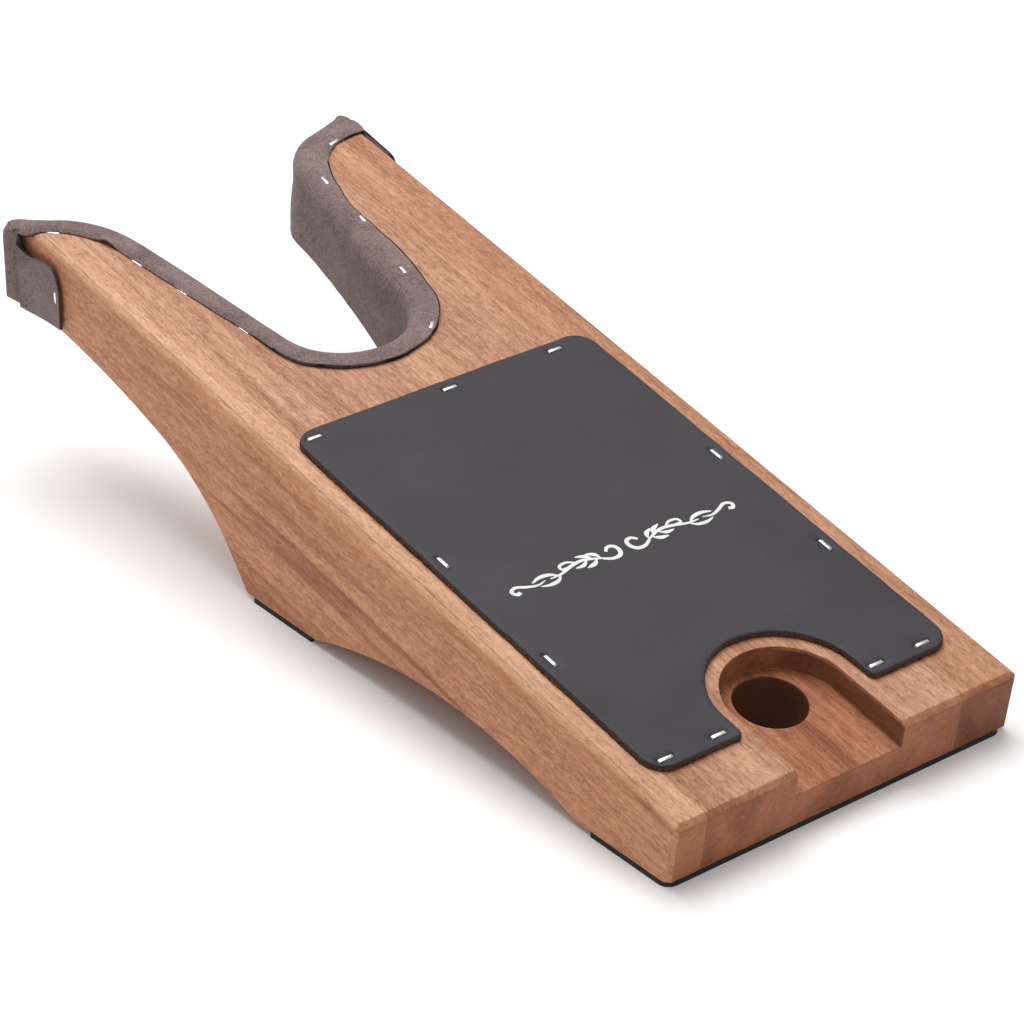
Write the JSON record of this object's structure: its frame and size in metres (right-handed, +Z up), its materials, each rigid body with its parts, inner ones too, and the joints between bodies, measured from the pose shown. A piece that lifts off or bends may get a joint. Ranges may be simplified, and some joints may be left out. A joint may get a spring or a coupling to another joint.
{
  "type": "boot jack",
  "caption": "Sloping wooden boot jack with a suede-lined heel notch between two prongs, a stapled leather tread panel, a recessed hanging hole and rubber pads.",
  "frame": {"origin": "on the floor, below the middle of the object's outer box", "axes": "+Y from the low front edge up the slope to the prongs, +X to the right prong, +Z up"},
  "size_m": [0.1236, 0.3018, 0.0777],
  "materials": {
    "wood_light": "sanded, thin oil",
    "wood_middle": "sanded, thin oil",
    "suede": "grey napped suede",
    "leather": "matt black leather with a brown cut edge",
    "steel": "bright galvanised wire",
    "rubber": "matt black"
  },
  "bodies": {
    "root": {"stave_left": "wood_light", "stave_middle": "wood_middle", "stave_right": "wood_light", "heel_lining": "suede", "tread_panel": "leather", "panel_staples": "steel", "lining_staples": "steel", "tab_staples": "steel", "front_pad": "rubber", "rear_pad": "rubber"}
  },
  "joints": []
}
